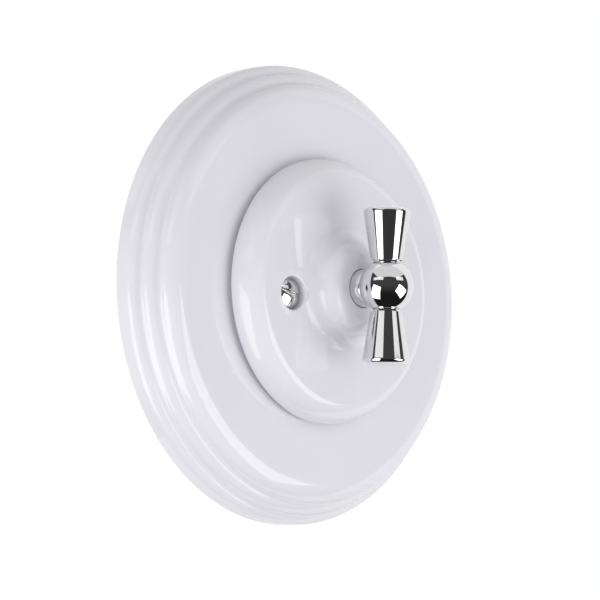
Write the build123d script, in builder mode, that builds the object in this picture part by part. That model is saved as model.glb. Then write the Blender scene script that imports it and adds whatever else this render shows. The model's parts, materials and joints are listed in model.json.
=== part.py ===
"""Porcelain rotary dimmer for a round flush wall box.

The wall is the plane y = 0 and the room lies on its -Y side. A height is a distance in front of
the wall, so what sits inside the wall box has a negative height. All sizes are in millimetres.
"""

import os
from math import asin, atan2, degrees, radians, sin, sqrt

from build123d import *

# Clearances
fixed_slip = 0.02
running_clearance = 0.05
part_gap = 0.3
stem_clearance = 0.2
head_clearance = 0.45
component_gap = 0.4

# Wall box standard
box_screw_spacing = 60.0
box_slot_length = 7.0
box_slot_width = 3.6
box_slot_count = 4

# Support plate
strap_thickness = 1.2
strap_edge = 4.5
strap_corner_trim = 2.5

# Porcelain wall plate
plate_strap_gap = 3.5
plate_rim_width = 8.5
rim_step_height = 5.2
rim_step_round = 2.15
middle_step_height = 3.05
middle_step_round = 2.45
inner_step_height = 3.95
inner_step_round = 3.3
groove_fillet = 0.45
plate_face_thickness = 5.5
plate_opening_radius = 24.5
plate_opening_round = 1.2
plate_recess_fillet = 1.5
plate_back_round = 0.5

# Porcelain cover
cover_overlap = 4.2
cover_foot_round = 0.7
cover_edge_height = 0.8
cover_shoulder_width = 4.3
cover_shoulder_height = 6.8
cover_rim_width = 4.6
cover_wall = 4.4
cover_cavity_fillet = 1.2
boss_rise = 5.1
boss_run = 7.6
boss_lip = 2.1
boss_lip_round = 0.4

# Cover screws and the pillars that take them
screw_offset = 16.3
screw_thread_radius = 1.5
screw_head_radius = 3.1
screw_head_edge = 1.2
screw_head_dome = 0.8
screw_slot_width = 1.0
screw_slot_depth = 1.1
screw_slot_angle = -20.0
screw_sink = 0.8
screw_engagement = 6.0
screw_boss_wall = 1.4
screw_boss_depth = 2.4
pillar_wall = 1.5
pillar_rivet_radius = 2.0
pillar_turn = 30.0

# Knob
spindle_radius = 3.0
spindle_flat = 1.5
collar_wall = 1.08
collar_depth = 8.0
knob_standoff = 6.8
ball_radius = 5.85
ball_bore_end = 1.2
arm_root_radius = 3.4
arm_end_radius = 4.96
arm_length = 11.2
arm_edge_round = 0.9
arm_groove = 0.8
arm_neck_wall = 1.3
arm_stud_radius = 1.5

# Knob travel: pressed to switch, turned each way from upright, and at rest a little past upright
push_travel = 1.5
turn_limit = 135.0
knob_rest_turn = 7.0

# Potentiometer
bushing_wall = 1.95
bushing_thread_end = 2.7
bushing_chamfer = 0.4
bushing_flange = 1.0
nut_across_flats = 14.0
nut_height = 2.0
nut_chamfer = 0.3
washer_thickness = 0.6
washer_width = 2.3
pot_case_radius = 9.0
pot_case_wall = 0.9
pot_case_depth = 7.6
pot_case_floor = 1.0
track_thickness = 0.8
track_width = 3.5
clip_thickness = 0.6
clip_groove_depth = 0.6
clip_width = 1.5
clip_mouth = 2.8
rotor_thickness = 2.5
stop_reach = 0.8
stop_half_angle = 20.0
stop_play = 1.0
wiper_thickness = 0.3
wiper_width = 1.4
wiper_finger_radius = 0.6
nose_radius = 2.0

# Push switch
switch_case_radius = 8.0
switch_case_wall = 0.9
switch_case_depth = 6.8
switch_case_floor = 1.0
plunger_radius = 5.6
plunger_flange = 1.0
plunger_stem_radius = 1.8
plunger_stem_length = 2.3
bridge_width = 1.6
bridge_thickness = 0.3
contact_radius = 0.7
spring_thickness = 0.3
spring_half_span = 6.0
spring_width = 4.0

# Housing
strip_width = 10.2
housing_wall = 1.8
housing_floor = 1.8
housing_corner = 10.0
housing_edge_round = 1.2
lid_thickness = 1.6
post_radius = 2.6
post_screw_radius = 1.2
post_screw_length = 12.0
post_head_radius = 2.4
post_head_height = 1.5
post_head_round = 0.6
post_slot_width = 0.7
post_slot_depth = 0.8

# Circuit board and what it carries
board_thickness = 1.6
board_standoff = 1.2
board_standoff_radius = 1.5
sink_thickness = 1.5
sink_fin_height = 9.0
triac_width = 9.6
triac_body_length = 9.2
triac_body_height = 4.5
triac_tab_length = 6.3
triac_tab_thickness = 1.3
triac_hole_radius = 1.8
choke_length = 17.0
choke_rod_radius = 2.5
choke_turns = 8
choke_end = 1.4
capacitor_length = 10.0
capacitor_width = 5.0
capacitor_height = 11.0
capacitor_round = 0.6
capacitor_corner_gap = 4.4
fuse_length = 20.0
fuse_radius = 2.5
fuse_cap_length = 5.0
fuse_cap_wall = 0.2
fuse_lift = 1.2
fuse_clip_sheet = 0.4
fuse_clip_length = 4.4
fuse_clip_rise = 1.0

# Terminals
terminal_count = 3
terminal_pitch = 7.8
terminal_shift = -1.2
terminal_width = 6.6
terminal_height = 7.4
terminal_depth = 9.0
terminal_round = 0.5
terminal_tail_thickness = 0.8
terminal_tail_width = 2.4
terminal_tail_lap = 0.6
wire_radius = 1.6
wire_funnel = 0.4
clamp_screw_radius = 1.75
clamp_head_radius = 2.3
clamp_head_height = 1.6
clamp_slot_width = 0.6
clamp_slot_depth = 0.8

# Support plate and porcelain
strap_radius = box_screw_spacing / 2 + box_slot_length / 2 + strap_edge
recess_radius = strap_radius + plate_strap_gap
plate_radius = recess_radius + plate_rim_width
middle_step_radius = plate_radius - rim_step_round
inner_step_radius = middle_step_radius - middle_step_round
inner_step_foot = rim_step_height + middle_step_height
plate_height = inner_step_foot + inner_step_height
recess_height = plate_height - plate_face_thickness

collar_radius = spindle_radius + fixed_slip + collar_wall
stem_hole_radius = collar_radius + stem_clearance
boss_foot_radius = stem_hole_radius + boss_lip + boss_run
boss_turn = degrees(2 * atan2(boss_rise, boss_run))
boss_blend_radius = boss_run / (2 * sin(radians(boss_turn)))
cover_radius = plate_opening_radius + cover_overlap
cover_cavity_radius = cover_radius - cover_rim_width
cover_front = plate_height + cover_edge_height + cover_shoulder_height
cover_ceiling = cover_front - cover_wall
boss_top = cover_front + boss_rise

# The cover's shoulder is two arcs of 45 degrees that together span its width and height
shoulder_lower_radius = ((1 + sqrt(2)) * cover_shoulder_height - cover_shoulder_width) / sqrt(2)
shoulder_upper_radius = ((1 + sqrt(2)) * cover_shoulder_width - cover_shoulder_height) / sqrt(2)

# Cover screws: each head lies on the floor of its counterbore, each shank ends in its pillar
counterbore_radius = screw_head_radius + head_clearance
screw_head_top = cover_front - screw_sink
screw_head_foot = screw_head_top - screw_head_edge - screw_head_dome
screw_dome_radius = (screw_head_radius**2 + screw_head_dome**2) / (2 * screw_head_dome)
screw_hole_radius = screw_thread_radius + part_gap
screw_boss_radius = counterbore_radius + screw_boss_wall
screw_boss_foot = cover_ceiling - screw_boss_depth
screw_bore_radius = screw_thread_radius + fixed_slip
pillar_top = screw_boss_foot - part_gap
pillar_radius = screw_bore_radius + pillar_wall
screw_tip = pillar_top - screw_engagement
screw_places = [(-screw_offset, 0), (screw_offset, 0)]

# Knob: the ball's centre, and where the narrow end of each cone sits
ball_height = boss_top + knob_standoff
arm_seat = sqrt(ball_radius**2 - arm_root_radius**2) + arm_groove
arm_neck_radius = arm_stud_radius + fixed_slip + arm_neck_wall
collar_foot = boss_top - collar_depth
spindle_front = ball_height + ball_bore_end
knob_axis = Axis((0, -ball_height, 0), (0, 0, 1))

# Stack of the insert, from the support plate back to the rear of its housing
lid_back = -lid_thickness
flange_back = lid_back - bushing_flange
pot_back = flange_back - pot_case_depth
pot_floor = pot_back + pot_case_floor
switch_back = pot_back - switch_case_depth
switch_floor = switch_back + switch_case_floor
board_front = switch_back
board_back = board_front - board_thickness
housing_inside = board_back - board_standoff
housing_back = housing_inside - housing_floor

bushing_bore_radius = spindle_radius + running_clearance
bushing_radius = bushing_bore_radius + bushing_wall
bushing_hole_radius = bushing_radius + part_gap / 2
washer_front = strap_thickness + washer_thickness
nut_front = washer_front + nut_height
bushing_front = nut_front + bushing_thread_end

# Potentiometer works: the clip behind the bushing, then the track, the wiper and the rotor
pot_inner_radius = pot_case_radius - pot_case_wall
groove_radius = spindle_radius - clip_groove_depth
clip_front = flange_back - 2 * running_clearance
clip_back = clip_front - clip_thickness
clip_inner_radius = groove_radius + running_clearance
clip_outer_radius = clip_inner_radius + clip_width
rotor_front = clip_back - push_travel - 2 * running_clearance
rotor_back = rotor_front - rotor_thickness
rotor_tab_radius = pot_inner_radius - part_gap
rotor_tab_half_angle = 180 - turn_limit - stop_half_angle - stop_play
stop_inner_radius = pot_inner_radius - stop_reach
rotor_radius = stop_inner_radius - part_gap
track_outer_radius = pot_inner_radius - part_gap / 2
track_inner_radius = track_outer_radius - track_width
track_back = flange_back - track_thickness
wiper_radius = (track_inner_radius + track_outer_radius) / 2
wiper_front = rotor_front + wiper_thickness
spindle_key_end = rotor_back - 2 * running_clearance

# Push switch: the spindle's nose rests on the plunger, which carries the contact bridge
plunger_front = pot_back - 2 * running_clearance
plunger_back = plunger_front - plunger_flange
plunger_stem_end = plunger_back - plunger_stem_length
bridge_back = plunger_back - bridge_thickness
contact_tip = bridge_back - push_travel - running_clearance
contact_offset = plunger_radius - bridge_width / 2
contact_places = [(0, -contact_offset), (0, contact_offset)]

# Plan of the housing: a strip for components on each side of the potentiometer
strip_inner = pot_case_radius + component_gap
strip_centre = strip_inner + strip_width / 2
housing_inner = strip_inner + strip_width + component_gap
housing_half = housing_inner + housing_wall
inner_corner = housing_corner - housing_wall
post_offset = housing_inner - inner_corner + (inner_corner + part_gap - post_radius) / sqrt(2)
post_places = [(-post_offset, post_offset), (post_offset, -post_offset)]
post_hole_radius = post_screw_radius + part_gap
board_half = housing_inner - component_gap
board_lower = -strip_inner
standoff_x = board_half - board_standoff_radius
board_places = [
    (-board_half / 2, standoff_x),
    (board_half / 2, standoff_x),
    (-standoff_x, board_lower + board_standoff_radius),
    (standoff_x, board_lower + board_standoff_radius),
]

# Components, each in its strip
sink_front = board_front + sink_thickness
sink_top = strip_inner - component_gap
sink_foot = board_lower + terminal_tail_lap + component_gap
triac_shoulder = sink_foot + triac_body_length
capacitor_x = housing_inner - capacitor_corner_gap - capacitor_length / 2
choke_right = capacitor_x - capacitor_length / 2 - component_gap
choke_left = choke_right - choke_length
choke_wire_radius = (choke_length - 2 * choke_end) / (2 * choke_turns)
choke_bore_radius = choke_rod_radius + fixed_slip
choke_wound_radius = choke_bore_radius + 2 * choke_wire_radius
choke_height = board_front + choke_wound_radius + fixed_slip
choke_axis = Axis((0, -choke_height, strip_centre), (1, 0, 0))
fuse_middle = strip_centre - capacitor_width / 2 - component_gap - fuse_length / 2
fuse_height = board_front + fuse_clip_sheet + fuse_lift + fuse_radius
fuse_axis = Axis((strip_centre, -fuse_height, 0), (0, 0, 1))
fuse_clip_offset = fuse_length / 2 - fuse_cap_length / 2
fuse_clip_half = fuse_radius + fixed_slip

# Terminals stand on the housing's floor along its lower side
terminal_xs = [
    terminal_shift + terminal_pitch * (i - (terminal_count - 1) / 2)
    for i in range(terminal_count)
]
terminal_top = -strip_inner - component_gap
terminal_z = terminal_top - terminal_height / 2
terminal_foot = terminal_top - terminal_height
terminal_places = [(x, terminal_z) for x in terminal_xs]
clamp_height = housing_inside + terminal_depth / 2
clamp_places = [(x, -clamp_height) for x in terminal_xs]
clamp_tip = terminal_z - wire_radius
clamp_bore_radius = clamp_screw_radius + fixed_slip

# Radius against height, for pieces turned about the spindle's axis
section = Plane(origin=(0, 0, 0), x_dir=(1, 0, 0), z_dir=(0, 0, -1))


def at_height(height):
    """A plane parallel to the wall that faces the room, with X to the right and Z up."""
    return Plane.XZ.offset(height)


def at_level(z):
    """A horizontal plane, seen from above, with X to the right and the room at -Y."""
    return Plane.XY.offset(z)


def ring(inner_radius, outer_radius, foot, height):
    """A flat ring about the spindle's axis that stands on the height foot."""
    with BuildSketch(at_height(foot)) as outline:
        Circle(outer_radius)
        Circle(inner_radius, mode=Mode.SUBTRACT)
    extrude(outline.sketch, amount=height)


def rods(places, radius, foot, top, mode=Mode.ADD):
    """Round rods, or holes, at these places on the wall plane, from the height foot to top."""
    with BuildSketch(at_height(foot)) as outline:
        with Locations(*places):
            Circle(radius)
    extrude(outline.sketch, amount=top - foot, mode=mode)


def key_section(radius, flat):
    """A circle with a flat across its lower side, on the active sketch."""
    Circle(radius)
    with Locations((0, -flat - radius)):
        Rectangle(2 * radius, 2 * radius, mode=Mode.SUBTRACT)


def pie_section(radius, middle_angle, half_angle):
    """A slice of a circle, on the active sketch."""
    first = middle_angle - half_angle
    with BuildLine() as outline:
        edge = CenterArc((0, 0), radius, first, 2 * half_angle)
        Polyline(edge @ 1, (0, 0), edge @ 0)
    make_face(outline.edges())


def corner_at(sketch, place):
    """The corner of a section that lies at this radius and height."""
    return sketch.vertices().sort_by_distance(place)[0]


def plate_step(foot_radius, foot, top, round_radius):
    """One step of the plate: a straight wall that turns inwards through a quarter round."""
    wall = Line((foot_radius, foot), (foot_radius, top - round_radius))
    return JernArc(wall @ 1, (0, 1), round_radius, 90)


def turned_arm(stud_end):
    """One cone of the handle, pointing up, with the stud that screws into the ball."""
    arm_top = arm_seat + arm_length
    with BuildSketch(at_height(ball_height)) as arm_section:
        with BuildLine():
            Polyline(
                (0, stud_end),
                (arm_stud_radius, stud_end),
                (arm_stud_radius, arm_seat),
                (arm_root_radius, arm_seat),
                (arm_end_radius, arm_top),
                (0, arm_top),
                close=True,
            )
        make_face()
        fillet(corner_at(arm_section, (arm_end_radius, arm_top)), arm_edge_round)
    revolve(arm_section.sketch, axis=knob_axis)


def stand_at_rest(piece):
    """Turns a piece about the spindle's axis, to where the knob stands at rest."""
    add(piece.part.rotate(Axis.Y, knob_rest_turn), mode=Mode.REPLACE)


os.makedirs("parts", exist_ok=True)


# Wall plate: three quarter-round steps outside, hollow behind for the support plate
with BuildPart() as wall_plate:
    with BuildSketch(section) as plate_section:
        with BuildLine():
            Line((recess_radius, 0), (plate_radius, 0))
            plate_step(plate_radius, 0, rim_step_height, rim_step_round)
            plate_step(middle_step_radius, rim_step_height, inner_step_foot, middle_step_round)
            face = plate_step(inner_step_radius, inner_step_foot, plate_height, inner_step_round)
            Polyline(
                face @ 1,
                (plate_opening_radius, plate_height),
                (plate_opening_radius, recess_height),
                (recess_radius, recess_height),
                (recess_radius, 0),
            )
        make_face()
        fillet(corner_at(plate_section, (middle_step_radius, rim_step_height)), groove_fillet)
        fillet(corner_at(plate_section, (inner_step_radius, inner_step_foot)), groove_fillet)
        fillet(corner_at(plate_section, (plate_opening_radius, plate_height)), plate_opening_round)
        fillet(corner_at(plate_section, (recess_radius, recess_height)), plate_recess_fillet)
        fillet(corner_at(plate_section, (plate_radius, 0)), plate_back_round)
    revolve(axis=Axis.Y)
wall_plate.part.label = "wall_plate"
export_step(wall_plate.part, "parts/wall_plate.step")


# Cover: a shallow porcelain cap whose front swells into a boss round the stem hole
with BuildPart() as cover:
    with BuildSketch(section) as cover_section:
        with BuildLine():
            edge_line = Polyline(
                (cover_cavity_radius, plate_height),
                (cover_radius, plate_height),
                (cover_radius, plate_height + cover_edge_height),
            )
            lower_arc = JernArc(edge_line @ 1, (0, 1), shoulder_lower_radius, 45)
            upper_arc = JernArc(lower_arc @ 1, lower_arc % 1, shoulder_upper_radius, 45)
            front_line = Line(upper_arc @ 1, (boss_foot_radius, cover_front))
            hollow_arc = JernArc(front_line @ 1, (-1, 0), boss_blend_radius, -boss_turn)
            crown_arc = JernArc(hollow_arc @ 1, hollow_arc % 1, boss_blend_radius, boss_turn)
            Polyline(
                crown_arc @ 1,
                (stem_hole_radius, boss_top),
                (stem_hole_radius, cover_ceiling),
                (cover_cavity_radius, cover_ceiling),
                (cover_cavity_radius, plate_height),
            )
        make_face()
        fillet(corner_at(cover_section, (cover_radius, plate_height)), cover_foot_round)
        fillet(corner_at(cover_section, (stem_hole_radius, boss_top)), boss_lip_round)
        fillet(corner_at(cover_section, (cover_cavity_radius, cover_ceiling)), cover_cavity_fillet)
    revolve(axis=Axis.Y)
    rods(screw_places, screw_boss_radius, screw_boss_foot, cover_ceiling)
    with Locations(at_height(boss_top)):
        with Locations(*screw_places):
            CounterBoreHole(
                radius=screw_hole_radius,
                counter_bore_radius=counterbore_radius,
                counter_bore_depth=boss_top - screw_head_foot,
                depth=boss_top - screw_boss_foot + part_gap,
            )
cover.part.label = "cover"
export_step(cover.part, "parts/cover.step")


# Cover screws: slotted, with a low domed head
with BuildPart() as cover_screws:
    with BuildSketch(Plane(section.origin + (-screw_offset, 0, 0), section.x_dir, section.z_dir)):
        with BuildLine():
            dome = JernArc(
                (0, screw_head_top),
                (1, 0),
                screw_dome_radius,
                -degrees(asin(screw_head_radius / screw_dome_radius)),
            )
            Polyline(
                dome @ 1,
                (screw_head_radius, screw_head_foot),
                (screw_thread_radius, screw_head_foot),
                (screw_thread_radius, screw_tip),
                (0, screw_tip),
                (0, screw_head_top),
            )
        make_face()
    revolve(axis=Axis((-screw_offset, 0, 0), (0, 1, 0)))
    with BuildSketch(at_height(screw_head_top)):
        with Locations((-screw_offset, 0)):
            Rectangle(2 * counterbore_radius, screw_slot_width, rotation=screw_slot_angle)
    extrude(amount=-screw_slot_depth, mode=Mode.SUBTRACT)
    mirror(about=Plane.YZ)
cover_screws.part.label = "cover_screws"
export_step(cover_screws.part, "parts/cover_screws.step")


# Knob ball: collar behind, a short neck above and below, cross-drilled for the studs of the cones
with BuildPart() as knob_ball:
    with Locations((0, -ball_height, 0)):
        Sphere(ball_radius)
    rods([(0, 0)], collar_radius, collar_foot, ball_height)
    with BuildSketch(at_level(-arm_seat)):
        with Locations((0, -ball_height)):
            Circle(arm_neck_radius)
    extrude(amount=2 * arm_seat)
    split(bisect_by=at_level(arm_seat), keep=Keep.BOTTOM)
    split(bisect_by=at_level(-arm_seat), keep=Keep.TOP)
    rods([(0, 0)], spindle_radius + fixed_slip, collar_foot, spindle_front + fixed_slip, Mode.SUBTRACT)
    with BuildSketch(at_level(-arm_seat)):
        with Locations((0, -ball_height)):
            Circle(arm_stud_radius + fixed_slip)
    extrude(amount=2 * arm_seat, mode=Mode.SUBTRACT)
    stand_at_rest(knob_ball)
knob_ball.part.label = "knob_ball"
export_step(knob_ball.part, "parts/knob_ball.step")


# Upper cone: its stud stops short of the spindle
with BuildPart() as knob_arm_upper:
    turned_arm(spindle_radius + part_gap)
    stand_at_rest(knob_arm_upper)
knob_arm_upper.part.label = "knob_arm_upper"
export_step(knob_arm_upper.part, "parts/knob_arm_upper.step")


# Lower cone: its longer stud bears on the spindle's flat and holds the knob
with BuildPart() as knob_arm_lower:
    turned_arm(spindle_flat + fixed_slip)
    mirror(about=Plane.XY, mode=Mode.REPLACE)
    stand_at_rest(knob_arm_lower)
knob_arm_lower.part.label = "knob_arm_lower"
export_step(knob_arm_lower.part, "parts/knob_arm_lower.step")


# Spindle: flat at the knob, groove for its clip, flat for the rotor and a nose that presses the switch
with BuildPart() as spindle:
    with BuildSketch(at_height(collar_foot)):
        key_section(spindle_radius, spindle_flat)
    extrude(amount=spindle_front - collar_foot)
    rods([(0, 0)], spindle_radius, clip_front + running_clearance, collar_foot)
    rods([(0, 0)], groove_radius, clip_back - running_clearance, clip_front + running_clearance)
    with BuildSketch(at_height(spindle_key_end)):
        key_section(spindle_radius, spindle_flat)
    extrude(amount=clip_back - running_clearance - spindle_key_end)
    rods([(0, 0)], nose_radius, plunger_front, spindle_key_end)
    stand_at_rest(spindle)
spindle.part.label = "spindle"
export_step(spindle.part, "parts/spindle.step")


# Spindle clip: an open ring in the groove, behind the bushing
with BuildPart() as spindle_clip:
    with BuildSketch(at_height(clip_back)):
        Circle(clip_outer_radius)
        Circle(clip_inner_radius, mode=Mode.SUBTRACT)
        with Locations((clip_outer_radius, 0)):
            Rectangle(2 * clip_outer_radius, clip_mouth, mode=Mode.SUBTRACT)
    extrude(amount=clip_thickness)
    stand_at_rest(spindle_clip)
spindle_clip.part.label = "spindle_clip"
export_step(spindle_clip.part, "parts/spindle_clip.step")


# Support plate: a trimmed disc with slots for the wall box screws, either side or above and below
with BuildPart() as mounting_strap:
    strap_side = 2 * (strap_radius - strap_corner_trim)
    with BuildSketch(at_height(0)):
        Circle(strap_radius)
        Rectangle(strap_side, strap_side, mode=Mode.INTERSECT)
        Circle(bushing_hole_radius, mode=Mode.SUBTRACT)
        with PolarLocations(box_screw_spacing / 2, box_slot_count):
            SlotOverall(box_slot_length, box_slot_width, mode=Mode.SUBTRACT)
        with Locations(*screw_places):
            Circle(pillar_rivet_radius + fixed_slip, mode=Mode.SUBTRACT)
        with Locations(*post_places):
            Circle(post_hole_radius, mode=Mode.SUBTRACT)
    extrude(amount=strap_thickness)
mounting_strap.part.label = "mounting_strap"
export_step(mounting_strap.part, "parts/mounting_strap.step")


# Cover pillars: hexagonal with a flat towards the nut, riveted to the support plate and threaded
with BuildPart() as cover_pillars:
    with BuildSketch(at_height(strap_thickness)):
        with Locations(*screw_places):
            RegularPolygon(pillar_radius, 6, major_radius=False, rotation=pillar_turn)
    extrude(amount=pillar_top - strap_thickness)
    rods(screw_places, pillar_rivet_radius, 0, strap_thickness)
    rods(screw_places, screw_bore_radius, screw_tip - part_gap, pillar_top, Mode.SUBTRACT)
cover_pillars.part.label = "cover_pillars"
export_step(cover_pillars.part, "parts/cover_pillars.step")


# Potentiometer bushing: a threaded tube with the flange that closes the case
with BuildPart() as pot_bushing:
    ring(bushing_bore_radius, pot_case_radius, flange_back, bushing_flange)
    ring(bushing_bore_radius, bushing_radius, lid_back, bushing_front - lid_back)
    tube_end = pot_bushing.edges().group_by(Axis.Y)[0].sort_by(SortBy.RADIUS)[-1]
    chamfer(tube_end, bushing_chamfer)
pot_bushing.part.label = "pot_bushing"
export_step(pot_bushing.part, "parts/pot_bushing.step")


# Washer and nut that clamp the bushing to the support plate
with BuildPart() as bushing_washer:
    ring(bushing_hole_radius, bushing_hole_radius + washer_width, strap_thickness, washer_thickness)
bushing_washer.part.label = "bushing_washer"
export_step(bushing_washer.part, "parts/bushing_washer.step")

with BuildPart() as bushing_nut:
    with BuildSketch(at_height(washer_front)):
        RegularPolygon(nut_across_flats / 2, 6, major_radius=False)
        Circle(bushing_radius + fixed_slip, mode=Mode.SUBTRACT)
    extrude(amount=nut_height)
    chamfer(bushing_nut.faces().sort_by(Axis.Y)[0].outer_wire().edges(), nut_chamfer)
bushing_nut.part.label = "bushing_nut"
export_step(bushing_nut.part, "parts/bushing_nut.step")


# Potentiometer case: a cup with a stop for the rotor inside its wall
with BuildPart() as pot_case:
    rods([(0, 0)], pot_case_radius, pot_back, flange_back)
    rods([(0, 0)], pot_inner_radius, pot_floor, flange_back, Mode.SUBTRACT)
    rods([(0, 0)], nose_radius + part_gap, pot_back, pot_floor, Mode.SUBTRACT)
    with BuildSketch(at_height(rotor_back)):
        pie_section(pot_case_radius - pot_case_wall / 2, 270, stop_half_angle)
        Circle(stop_inner_radius, mode=Mode.SUBTRACT)
    extrude(amount=rotor_thickness)
pot_case.part.label = "pot_case"
export_step(pot_case.part, "parts/pot_case.step")


# Resistor track: a carbon ring on the back of the flange
with BuildPart() as resistor_track:
    ring(track_inner_radius, track_outer_radius, track_back, track_thickness)
resistor_track.part.label = "resistor_track"
export_step(resistor_track.part, "parts/resistor_track.step")


# Wiper rotor: keyed to the spindle, with the tab that meets the stop
with BuildPart() as wiper_rotor:
    with BuildSketch(at_height(rotor_back)):
        pie_section(rotor_tab_radius, 90, rotor_tab_half_angle)
        Circle(rotor_radius)
    extrude(amount=rotor_thickness)
    with BuildSketch(at_height(rotor_back)):
        key_section(spindle_radius + running_clearance, spindle_flat + running_clearance)
    extrude(amount=rotor_thickness, mode=Mode.SUBTRACT)
    stand_at_rest(wiper_rotor)
wiper_rotor.part.label = "wiper_rotor"
export_step(wiper_rotor.part, "parts/wiper_rotor.step")


# Wiper contact: a flat ring on the rotor with the finger that runs on the track
with BuildPart() as wiper_contact:
    ring(wiper_radius - wiper_width / 2, wiper_radius + wiper_width / 2, rotor_front, wiper_thickness)
    rods([(0, wiper_radius)], wiper_finger_radius, wiper_front, track_back - running_clearance)
    stand_at_rest(wiper_contact)
wiper_contact.part.label = "wiper_contact"
export_step(wiper_contact.part, "parts/wiper_contact.step")


# Switch case: a cup behind the potentiometer
with BuildPart() as switch_case:
    rods([(0, 0)], switch_case_radius, switch_back, pot_back)
    rods([(0, 0)], switch_case_radius - switch_case_wall, switch_floor, pot_back, Mode.SUBTRACT)
    rods(contact_places, contact_radius + fixed_slip, switch_back, switch_floor, Mode.SUBTRACT)
switch_case.part.label = "switch_case"
export_step(switch_case.part, "parts/switch_case.step")


# Switch plunger: the spindle's nose presses its flange, its stem presses the spring
with BuildPart() as switch_plunger:
    rods([(0, 0)], plunger_radius, plunger_back, plunger_front)
    rods([(0, 0)], plunger_stem_radius, plunger_stem_end, plunger_back)
switch_plunger.part.label = "switch_plunger"
export_step(switch_plunger.part, "parts/switch_plunger.step")


# Contact bridge: a ring on the plunger that joins the two contact pins
with BuildPart() as contact_bridge:
    ring(plunger_radius - bridge_width, plunger_radius, bridge_back, bridge_thickness)
contact_bridge.part.label = "contact_bridge"
export_step(contact_bridge.part, "parts/contact_bridge.step")

with BuildPart() as switch_contacts:
    rods(contact_places, contact_radius, board_front, contact_tip)
switch_contacts.part.label = "switch_contacts"
export_step(switch_contacts.part, "parts/switch_contacts.step")


# Return spring: a bowed leaf between the plunger's stem and the floor of the switch case
with BuildPart() as return_spring:
    spring_end = switch_floor + spring_thickness
    with BuildSketch(section):
        with BuildLine():
            under = ThreePointArc(
                (-spring_half_span, switch_floor),
                (0, plunger_stem_end - spring_thickness),
                (spring_half_span, switch_floor),
            )
            over = ThreePointArc(
                (-spring_half_span, spring_end),
                (0, plunger_stem_end),
                (spring_half_span, spring_end),
            )
            Line(under @ 0, over @ 0)
            Line(under @ 1, over @ 1)
        make_face()
    extrude(amount=spring_width / 2, both=True)
return_spring.part.label = "return_spring"
export_step(return_spring.part, "parts/return_spring.step")


# Housing: an open box with screw posts, board standoffs, wire holes behind and clamp holes below
with BuildPart() as housing:
    with BuildSketch(at_height(housing_back)):
        RectangleRounded(2 * housing_half, 2 * housing_half, housing_corner)
    extrude(amount=-housing_back)
    fillet(housing.faces().sort_by(Axis.Y)[-1].edges(), housing_edge_round)
    with BuildSketch(at_height(housing_inside)):
        RectangleRounded(2 * housing_inner, 2 * housing_inner, inner_corner)
    extrude(amount=-housing_inside, mode=Mode.SUBTRACT)
    rods(post_places, post_radius, housing_inside, lid_back)
    post_hole_foot = strap_thickness - post_screw_length - part_gap
    rods(post_places, post_screw_radius + fixed_slip, post_hole_foot, lid_back, Mode.SUBTRACT)
    rods(board_places, board_standoff_radius, housing_inside, board_back)
    rods(terminal_places, wire_radius + wire_funnel, housing_back, housing_inside, Mode.SUBTRACT)
    with BuildSketch(at_level(-housing_half)):
        with Locations(*clamp_places):
            Circle(clamp_head_radius + part_gap)
    extrude(amount=housing_wall, mode=Mode.SUBTRACT)
housing.part.label = "housing"
export_step(housing.part, "parts/housing.step")


# Lid: lies on the posts inside the rim, behind the support plate
with BuildPart() as housing_lid:
    lid_side = 2 * housing_inner - part_gap
    with BuildSketch(at_height(lid_back)):
        RectangleRounded(lid_side, lid_side, inner_corner - part_gap / 2)
        Circle(bushing_hole_radius, mode=Mode.SUBTRACT)
        with Locations(*post_places):
            Circle(post_hole_radius, mode=Mode.SUBTRACT)
    extrude(amount=lid_thickness)
housing_lid.part.label = "housing_lid"
export_step(housing_lid.part, "parts/housing_lid.step")


# Housing screws: through the support plate and the lid into the posts
with BuildPart() as housing_screws:
    post_head_top = strap_thickness + post_head_height
    rods(post_places, post_head_radius, strap_thickness, post_head_top)
    fillet(housing_screws.edges().group_by(Axis.Y)[0], post_head_round)
    rods(post_places, post_screw_radius, strap_thickness - post_screw_length, strap_thickness)
    with BuildSketch(at_height(post_head_top)):
        with Locations(*post_places):
            Rectangle(2 * post_head_radius, post_slot_width)
    extrude(amount=-post_slot_depth, mode=Mode.SUBTRACT)
housing_screws.part.label = "housing_screws"
export_step(housing_screws.part, "parts/housing_screws.step")


# Circuit board: follows the housing, cut away for one post and for the terminals
with BuildPart() as circuit_board:
    with BuildSketch(at_height(board_back)):
        RectangleRounded(2 * board_half, 2 * board_half, inner_corner - component_gap)
        with Locations((0, board_lower - board_half)):
            Rectangle(2 * board_half, 2 * board_half, mode=Mode.SUBTRACT)
        with Locations(post_places[0]):
            Circle(post_radius + component_gap, mode=Mode.SUBTRACT)
    extrude(amount=board_thickness)
circuit_board.part.label = "circuit_board"
export_step(circuit_board.part, "parts/circuit_board.step")


# Heat sink: an aluminium angle under the triac, its fin towards the lid
with BuildPart() as heat_sink:
    with BuildSketch(Plane.YZ.offset(-strip_centre)):
        with BuildLine():
            Polyline(
                (-board_front, sink_foot),
                (-board_front, sink_top),
                (-board_front - sink_fin_height, sink_top),
                (-board_front - sink_fin_height, sink_top - sink_thickness),
                (-sink_front, sink_top - sink_thickness),
                (-sink_front, sink_foot),
                close=True,
            )
        make_face()
    extrude(amount=triac_width / 2, both=True)
heat_sink.part.label = "heat_sink"
export_step(heat_sink.part, "parts/heat_sink.step")


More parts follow.
